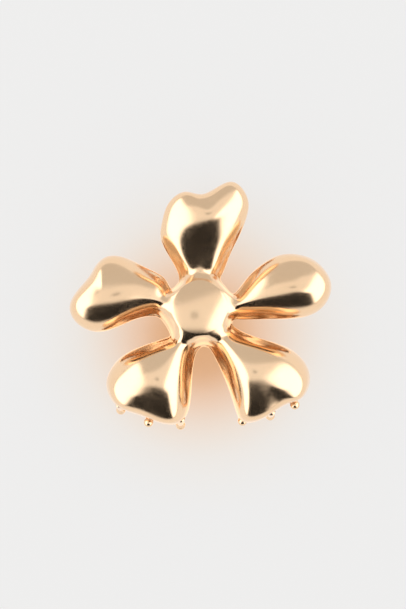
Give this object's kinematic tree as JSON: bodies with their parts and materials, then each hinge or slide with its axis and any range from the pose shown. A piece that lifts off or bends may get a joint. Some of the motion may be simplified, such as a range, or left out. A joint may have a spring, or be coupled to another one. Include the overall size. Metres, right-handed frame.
{
  "type": "flower claw clip",
  "caption": "Spring-loaded hair claw made of two hollow metal flowers hinged behind the centre, with ball-tipped teeth that interlace below the lower petals.",
  "frame": {"origin": "on the surface the clip lies on, under the middle of its bounding box", "axes": "+Z out of the front flower's face, +Y from the teeth toward the two thumb petals, +X along the hinge pin"},
  "size_m": [0.0716, 0.0683, 0.0352],
  "materials": {
    "front_jaw": "pale rose-gold plating, mirror polished, on a zinc casting",
    "back_jaw": "pale rose-gold plating, mirror polished, on a zinc casting",
    "hinge_pin": "thinly plated steel rivet",
    "torsion_spring": "drawn spring wire"
  },
  "bodies": {
    "back": {"back_jaw": "back_jaw", "hinge_pin": "hinge_pin", "torsion_spring": "torsion_spring"},
    "front": {"front_jaw": "front_jaw"}
  },
  "joints": [
    {"name": "jaw_hinge", "type": "hinge", "parent": "back", "child": "front", "pos_m": [-0.0004, 0.0018, 0.0176], "axis": [-1, 0, 0], "range_deg": [0, 35], "stiffness_Nm_per_rad": 0.12, "springref_deg": -40.11, "deforming": ["torsion_spring"]}
  ]
}
